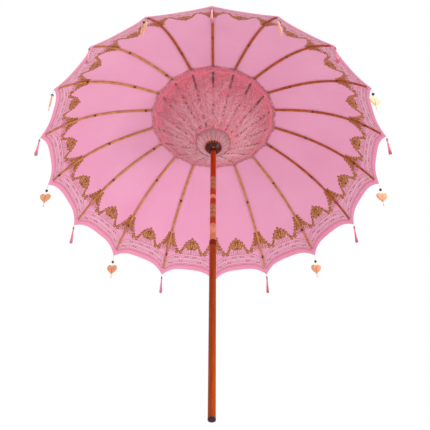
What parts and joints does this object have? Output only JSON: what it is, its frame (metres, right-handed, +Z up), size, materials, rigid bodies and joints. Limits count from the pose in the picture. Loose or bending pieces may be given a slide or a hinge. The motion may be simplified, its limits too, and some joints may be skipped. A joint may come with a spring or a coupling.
{
  "type": "garden parasol",
  "caption": "Open garden parasol with a jointed wooden pole, folding bamboo ribs, a pink cotton canopy with a scalloped hem, a yarn web under the crown and hanging charms.",
  "frame": {"origin": "centre of the flat underside of the pole's foot cap", "axes": "+Z up the pole; -Y toward the first rib and the locking peg"},
  "size_m": [2.0298, 2.0306, 2.475],
  "materials": {
    "varnished_hardwood": "gloss varnish",
    "dark_mahogany": "dark gloss stain",
    "bamboo": "satin",
    "pink_cotton": "matt plain weave",
    "pink_yarn": "matt",
    "gold_paint": "satin gold paint on wood",
    "brass_wire": "satin",
    "pale_charm_wood": "satin",
    "foot_cap_rubber": "matt"
  },
  "bodies": {
    "lower_pole": {"lower_pole": "varnished_hardwood", "foot_cap": "foot_cap_rubber", "pole_ferrule": "dark_mahogany"},
    "mast": {"upper_pole": "varnished_hardwood", "crown_hub": "dark_mahogany", "crown_ring": "brass_wire", "finial": "gold_paint", "canopy_cloth": "pink_cotton", "string_web": "pink_yarn"},
    "runner": {"runner": "dark_mahogany", "runner_ring": "brass_wire"},
    "locking_peg": {"locking_peg": "brass_wire"},
    "rib_01": {"rib_01": "bamboo"},
    "strut_01": {"strut_01": "bamboo"},
    "rib_02": {"rib_02": "bamboo"},
    "strut_02": {"strut_02": "bamboo"},
    "heart_charm_01": {"heart_charm_01": "pale_charm_wood"},
    "rib_03": {"rib_03": "bamboo"},
    "strut_03": {"strut_03": "bamboo"},
    "rib_04": {"rib_04": "bamboo"},
    "strut_04": {"strut_04": "bamboo"},
    "heart_charm_02": {"heart_charm_02": "pale_charm_wood"},
    "rib_05": {"rib_05": "bamboo"},
    "strut_05": {"strut_05": "bamboo"},
    "rib_06": {"rib_06": "bamboo"},
    "strut_06": {"strut_06": "bamboo"},
    "heart_charm_03": {"heart_charm_03": "pale_charm_wood"},
    "rib_07": {"rib_07": "bamboo"},
    "strut_07": {"strut_07": "bamboo"},
    "rib_08": {"rib_08": "bamboo"},
    "strut_08": {"strut_08": "bamboo"},
    "heart_charm_04": {"heart_charm_04": "pale_charm_wood"},
    "rib_09": {"rib_09": "bamboo"},
    "strut_09": {"strut_09": "bamboo"},
    "rib_10": {"rib_10": "bamboo"},
    "strut_10": {"strut_10": "bamboo"},
    "heart_charm_05": {"heart_charm_05": "pale_charm_wood"},
    "rib_11": {"rib_11": "bamboo"},
    "strut_11": {"strut_11": "bamboo"},
    "rib_12": {"rib_12": "bamboo"},
    "strut_12": {"strut_12": "bamboo"},
    "heart_charm_06": {"heart_charm_06": "pale_charm_wood"},
    "rib_13": {"rib_13": "bamboo"},
    "strut_13": {"strut_13": "bamboo"},
    "rib_14": {"rib_14": "bamboo"},
    "strut_14": {"strut_14": "bamboo"},
    "heart_charm_07": {"heart_charm_07": "pale_charm_wood"},
    "rib_15": {"rib_15": "bamboo"},
    "strut_15": {"strut_15": "bamboo"},
    "rib_16": {"rib_16": "bamboo"},
    "strut_16": {"strut_16": "bamboo"},
    "heart_charm_08": {"heart_charm_08": "pale_charm_wood"},
    "rib_17": {"rib_17": "bamboo"},
    "strut_17": {"strut_17": "bamboo"},
    "rib_18": {"rib_18": "bamboo"},
    "strut_18": {"strut_18": "bamboo"},
    "heart_charm_09": {"heart_charm_09": "pale_charm_wood"}
  },
  "joints": [
    {"name": "mast_lift", "type": "slide", "parent": "lower_pole", "child": "mast", "axis": [0, 0, 1], "range_m": [0, 0.12]},
    {"name": "runner_slide", "type": "slide", "parent": "mast", "child": "runner", "axis": [0, 0, -1], "range_m": [0, 0.3684], "deforming": ["canopy_cloth", "string_web"]},
    {"name": "peg_pull", "type": "slide", "parent": "runner", "child": "locking_peg", "axis": [0, -1, 0], "range_m": [0, 0.06]},
    {"name": "rib_01_hinge", "type": "hinge", "parent": "mast", "child": "rib_01", "pos_m": [0, -0.045, 2.279], "axis": [1, 0, 0], "range_deg": [0, 60.01]},
    {"name": "strut_01_hinge", "type": "hinge", "parent": "rib_01", "child": "strut_01", "pos_m": [0, -0.35864, 2.22229], "axis": [-1, 0, 0], "range_deg": [0, 92.37]},
    {"name": "rib_02_hinge", "type": "hinge", "parent": "mast", "child": "rib_02", "pos_m": [0.01539, -0.04229, 2.279], "axis": [0.9397, 0.342, 0], "range_deg": [0, 60.01]},
    {"name": "strut_02_hinge", "type": "hinge", "parent": "rib_02", "child": "strut_02", "pos_m": [0.12266, -0.33701, 2.22229], "axis": [-0.9397, -0.342, 0], "range_deg": [0, 92.37]},
    {"name": "heart_charm_01_swing", "type": "hinge", "parent": "rib_02", "child": "heart_charm_01", "pos_m": [0.34202, -0.93969, 1.8], "axis": [-0.9397, -0.342, 0], "range_deg": [0, 60.01]},
    {"name": "rib_03_hinge", "type": "hinge", "parent": "mast", "child": "rib_03", "pos_m": [0.02892, -0.03447, 2.279], "axis": [0.766, 0.6428, 0], "range_deg": [0, 60.01]},
    {"name": "strut_03_hinge", "type": "hinge", "parent": "rib_03", "child": "strut_03", "pos_m": [0.23053, -0.27474, 2.22229], "axis": [-0.766, -0.6428, 0], "range_deg": [0, 92.37]},
    {"name": "rib_04_hinge", "type": "hinge", "parent": "mast", "child": "rib_04", "pos_m": [0.03897, -0.0225, 2.279], "axis": [0.5, 0.866, 0], "range_deg": [0, 60.01]},
    {"name": "strut_04_hinge", "type": "hinge", "parent": "rib_04", "child": "strut_04", "pos_m": [0.31059, -0.17932, 2.22229], "axis": [-0.5, -0.866, 0], "range_deg": [0, 92.37]},
    {"name": "heart_charm_02_swing", "type": "hinge", "parent": "rib_04", "child": "heart_charm_02", "pos_m": [0.86603, -0.5, 1.8], "axis": [-0.5, -0.866, 0], "range_deg": [0, 60.01]},
    {"name": "rib_05_hinge", "type": "hinge", "parent": "mast", "child": "rib_05", "pos_m": [0.04432, -0.00781, 2.279], "axis": [0.1736, 0.9848, 0], "range_deg": [0, 60.01]},
    {"name": "strut_05_hinge", "type": "hinge", "parent": "rib_05", "child": "strut_05", "pos_m": [0.35319, -0.06228, 2.22229], "axis": [-0.1736, -0.9848, 0], "range_deg": [0, 92.37]},
    {"name": "rib_06_hinge", "type": "hinge", "parent": "mast", "child": "rib_06", "pos_m": [0.04432, 0.00781, 2.279], "axis": [-0.1736, 0.9848, 0], "range_deg": [0, 60.01]},
    {"name": "strut_06_hinge", "type": "hinge", "parent": "rib_06", "child": "strut_06", "pos_m": [0.35319, 0.06228, 2.22229], "axis": [0.1736, -0.9848, 0], "range_deg": [0, 92.37]},
    {"name": "heart_charm_03_swing", "type": "hinge", "parent": "rib_06", "child": "heart_charm_03", "pos_m": [0.98481, 0.17365, 1.8], "axis": [0.1736, -0.9848, 0], "range_deg": [0, 60.01]},
    {"name": "rib_07_hinge", "type": "hinge", "parent": "mast", "child": "rib_07", "pos_m": [0.03897, 0.0225, 2.279], "axis": [-0.5, 0.866, 0], "range_deg": [0, 60.01]},
    {"name": "strut_07_hinge", "type": "hinge", "parent": "rib_07", "child": "strut_07", "pos_m": [0.31059, 0.17932, 2.22229], "axis": [0.5, -0.866, 0], "range_deg": [0, 92.37]},
    {"name": "rib_08_hinge", "type": "hinge", "parent": "mast", "child": "rib_08", "pos_m": [0.02892, 0.03447, 2.279], "axis": [-0.766, 0.6428, 0], "range_deg": [0, 60.01]},
    {"name": "strut_08_hinge", "type": "hinge", "parent": "rib_08", "child": "strut_08", "pos_m": [0.23053, 0.27474, 2.22229], "axis": [0.766, -0.6428, 0], "range_deg": [0, 92.37]},
    {"name": "heart_charm_04_swing", "type": "hinge", "parent": "rib_08", "child": "heart_charm_04", "pos_m": [0.64279, 0.76604, 1.8], "axis": [0.766, -0.6428, 0], "range_deg": [0, 60.01]},
    {"name": "rib_09_hinge", "type": "hinge", "parent": "mast", "child": "rib_09", "pos_m": [0.01539, 0.04229, 2.279], "axis": [-0.9397, 0.342, 0], "range_deg": [0, 60.01]},
    {"name": "strut_09_hinge", "type": "hinge", "parent": "rib_09", "child": "strut_09", "pos_m": [0.12266, 0.33701, 2.22229], "axis": [0.9397, -0.342, 0], "range_deg": [0, 92.37]},
    {"name": "rib_10_hinge", "type": "hinge", "parent": "mast", "child": "rib_10", "pos_m": [0, 0.045, 2.279], "axis": [-1, 0, 0], "range_deg": [0, 60.01]},
    {"name": "strut_10_hinge", "type": "hinge", "parent": "rib_10", "child": "strut_10", "pos_m": [0, 0.35864, 2.22229], "axis": [1, 0, 0], "range_deg": [0, 92.37]},
    {"name": "heart_charm_05_swing", "type": "hinge", "parent": "rib_10", "child": "heart_charm_05", "pos_m": [0, 1, 1.8], "axis": [1, 0, 0], "range_deg": [0, 60.01]},
    {"name": "rib_11_hinge", "type": "hinge", "parent": "mast", "child": "rib_11", "pos_m": [-0.01539, 0.04229, 2.279], "axis": [-0.9397, -0.342, 0], "range_deg": [0, 60.01]},
    {"name": "strut_11_hinge", "type": "hinge", "parent": "rib_11", "child": "strut_11", "pos_m": [-0.12266, 0.33701, 2.22229], "axis": [0.9397, 0.342, 0], "range_deg": [0, 92.37]},
    {"name": "rib_12_hinge", "type": "hinge", "parent": "mast", "child": "rib_12", "pos_m": [-0.02892, 0.03447, 2.279], "axis": [-0.766, -0.6428, 0], "range_deg": [0, 60.01]},
    {"name": "strut_12_hinge", "type": "hinge", "parent": "rib_12", "child": "strut_12", "pos_m": [-0.23053, 0.27474, 2.22229], "axis": [0.766, 0.6428, 0], "range_deg": [0, 92.37]},
    {"name": "heart_charm_06_swing", "type": "hinge", "parent": "rib_12", "child": "heart_charm_06", "pos_m": [-0.64279, 0.76604, 1.8], "axis": [0.766, 0.6428, 0], "range_deg": [0, 60.01]},
    {"name": "rib_13_hinge", "type": "hinge", "parent": "mast", "child": "rib_13", "pos_m": [-0.03897, 0.0225, 2.279], "axis": [-0.5, -0.866, 0], "range_deg": [0, 60.01]},
    {"name": "strut_13_hinge", "type": "hinge", "parent": "rib_13", "child": "strut_13", "pos_m": [-0.31059, 0.17932, 2.22229], "axis": [0.5, 0.866, 0], "range_deg": [0, 92.37]},
    {"name": "rib_14_hinge", "type": "hinge", "parent": "mast", "child": "rib_14", "pos_m": [-0.04432, 0.00781, 2.279], "axis": [-0.1736, -0.9848, 0], "range_deg": [0, 60.01]},
    {"name": "strut_14_hinge", "type": "hinge", "parent": "rib_14", "child": "strut_14", "pos_m": [-0.35319, 0.06228, 2.22229], "axis": [0.1736, 0.9848, 0], "range_deg": [0, 92.37]},
    {"name": "heart_charm_07_swing", "type": "hinge", "parent": "rib_14", "child": "heart_charm_07", "pos_m": [-0.98481, 0.17365, 1.8], "axis": [0.1736, 0.9848, 0], "range_deg": [0, 60.01]},
    {"name": "rib_15_hinge", "type": "hinge", "parent": "mast", "child": "rib_15", "pos_m": [-0.04432, -0.00781, 2.279], "axis": [0.1736, -0.9848, 0], "range_deg": [0, 60.01]},
    {"name": "strut_15_hinge", "type": "hinge", "parent": "rib_15", "child": "strut_15", "pos_m": [-0.35319, -0.06228, 2.22229], "axis": [-0.1736, 0.9848, 0], "range_deg": [0, 92.37]},
    {"name": "rib_16_hinge", "type": "hinge", "parent": "mast", "child": "rib_16", "pos_m": [-0.03897, -0.0225, 2.279], "axis": [0.5, -0.866, 0], "range_deg": [0, 60.01]},
    {"name": "strut_16_hinge", "type": "hinge", "parent": "rib_16", "child": "strut_16", "pos_m": [-0.31059, -0.17932, 2.22229], "axis": [-0.5, 0.866, 0], "range_deg": [0, 92.37]},
    {"name": "heart_charm_08_swing", "type": "hinge", "parent": "rib_16", "child": "heart_charm_08", "pos_m": [-0.86603, -0.5, 1.8], "axis": [-0.5, 0.866, 0], "range_deg": [0, 60.01]},
    {"name": "rib_17_hinge", "type": "hinge", "parent": "mast", "child": "rib_17", "pos_m": [-0.02892, -0.03447, 2.279], "axis": [0.766, -0.6428, 0], "range_deg": [0, 60.01]},
    {"name": "strut_17_hinge", "type": "hinge", "parent": "rib_17", "child": "strut_17", "pos_m": [-0.23053, -0.27474, 2.22229], "axis": [-0.766, 0.6428, 0], "range_deg": [0, 92.37]},
    {"name": "rib_18_hinge", "type": "hinge", "parent": "mast", "child": "rib_18", "pos_m": [-0.01539, -0.04229, 2.279], "axis": [0.9397, -0.342, 0], "range_deg": [0, 60.01]},
    {"name": "strut_18_hinge", "type": "hinge", "parent": "rib_18", "child": "strut_18", "pos_m": [-0.12266, -0.33701, 2.22229], "axis": [-0.9397, 0.342, 0], "range_deg": [0, 92.37]},
    {"name": "heart_charm_09_swing", "type": "hinge", "parent": "rib_18", "child": "heart_charm_09", "pos_m": [-0.34202, -0.93969, 1.8], "axis": [-0.9397, 0.342, 0], "range_deg": [0, 60.01]}
  ],
  "couplings": [
    {"joint": "rib_01_hinge", "follows": "runner_slide", "rad_per_m": 2.8426},
    {"joint": "strut_01_hinge", "follows": "runner_slide", "rad_per_m": 4.3756},
    {"joint": "rib_02_hinge", "follows": "runner_slide", "rad_per_m": 2.8426},
    {"joint": "strut_02_hinge", "follows": "runner_slide", "rad_per_m": 4.3756},
    {"joint": "heart_charm_01_swing", "follows": "runner_slide", "rad_per_m": 2.8426},
    {"joint": "rib_03_hinge", "follows": "runner_slide", "rad_per_m": 2.8426},
    {"joint": "strut_03_hinge", "follows": "runner_slide", "rad_per_m": 4.3756},
    {"joint": "rib_04_hinge", "follows": "runner_slide", "rad_per_m": 2.8426},
    {"joint": "strut_04_hinge", "follows": "runner_slide", "rad_per_m": 4.3756},
    {"joint": "heart_charm_02_swing", "follows": "runner_slide", "rad_per_m": 2.8426},
    {"joint": "rib_05_hinge", "follows": "runner_slide", "rad_per_m": 2.8426},
    {"joint": "strut_05_hinge", "follows": "runner_slide", "rad_per_m": 4.3756},
    {"joint": "rib_06_hinge", "follows": "runner_slide", "rad_per_m": 2.8426},
    {"joint": "strut_06_hinge", "follows": "runner_slide", "rad_per_m": 4.3756},
    {"joint": "heart_charm_03_swing", "follows": "runner_slide", "rad_per_m": 2.8426},
    {"joint": "rib_07_hinge", "follows": "runner_slide", "rad_per_m": 2.8426},
    {"joint": "strut_07_hinge", "follows": "runner_slide", "rad_per_m": 4.3756},
    {"joint": "rib_08_hinge", "follows": "runner_slide", "rad_per_m": 2.8426},
    {"joint": "strut_08_hinge", "follows": "runner_slide", "rad_per_m": 4.3756},
    {"joint": "heart_charm_04_swing", "follows": "runner_slide", "rad_per_m": 2.8426},
    {"joint": "rib_09_hinge", "follows": "runner_slide", "rad_per_m": 2.8426},
    {"joint": "strut_09_hinge", "follows": "runner_slide", "rad_per_m": 4.3756},
    {"joint": "rib_10_hinge", "follows": "runner_slide", "rad_per_m": 2.8426},
    {"joint": "strut_10_hinge", "follows": "runner_slide", "rad_per_m": 4.3756},
    {"joint": "heart_charm_05_swing", "follows": "runner_slide", "rad_per_m": 2.8426},
    {"joint": "rib_11_hinge", "follows": "runner_slide", "rad_per_m": 2.8426},
    {"joint": "strut_11_hinge", "follows": "runner_slide", "rad_per_m": 4.3756},
    {"joint": "rib_12_hinge", "follows": "runner_slide", "rad_per_m": 2.8426},
    {"joint": "strut_12_hinge", "follows": "runner_slide", "rad_per_m": 4.3756},
    {"joint": "heart_charm_06_swing", "follows": "runner_slide", "rad_per_m": 2.8426},
    {"joint": "rib_13_hinge", "follows": "runner_slide", "rad_per_m": 2.8426},
    {"joint": "strut_13_hinge", "follows": "runner_slide", "rad_per_m": 4.3756},
    {"joint": "rib_14_hinge", "follows": "runner_slide", "rad_per_m": 2.8426},
    {"joint": "strut_14_hinge", "follows": "runner_slide", "rad_per_m": 4.3756},
    {"joint": "heart_charm_07_swing", "follows": "runner_slide", "rad_per_m": 2.8426},
    {"joint": "rib_15_hinge", "follows": "runner_slide", "rad_per_m": 2.8426},
    {"joint": "strut_15_hinge", "follows": "runner_slide", "rad_per_m": 4.3756},
    {"joint": "rib_16_hinge", "follows": "runner_slide", "rad_per_m": 2.8426},
    {"joint": "strut_16_hinge", "follows": "runner_slide", "rad_per_m": 4.3756},
    {"joint": "heart_charm_08_swing", "follows": "runner_slide", "rad_per_m": 2.8426},
    {"joint": "rib_17_hinge", "follows": "runner_slide", "rad_per_m": 2.8426},
    {"joint": "strut_17_hinge", "follows": "runner_slide", "rad_per_m": 4.3756},
    {"joint": "rib_18_hinge", "follows": "runner_slide", "rad_per_m": 2.8426},
    {"joint": "strut_18_hinge", "follows": "runner_slide", "rad_per_m": 4.3756},
    {"joint": "heart_charm_09_swing", "follows": "runner_slide", "rad_per_m": 2.8426}
  ]
}
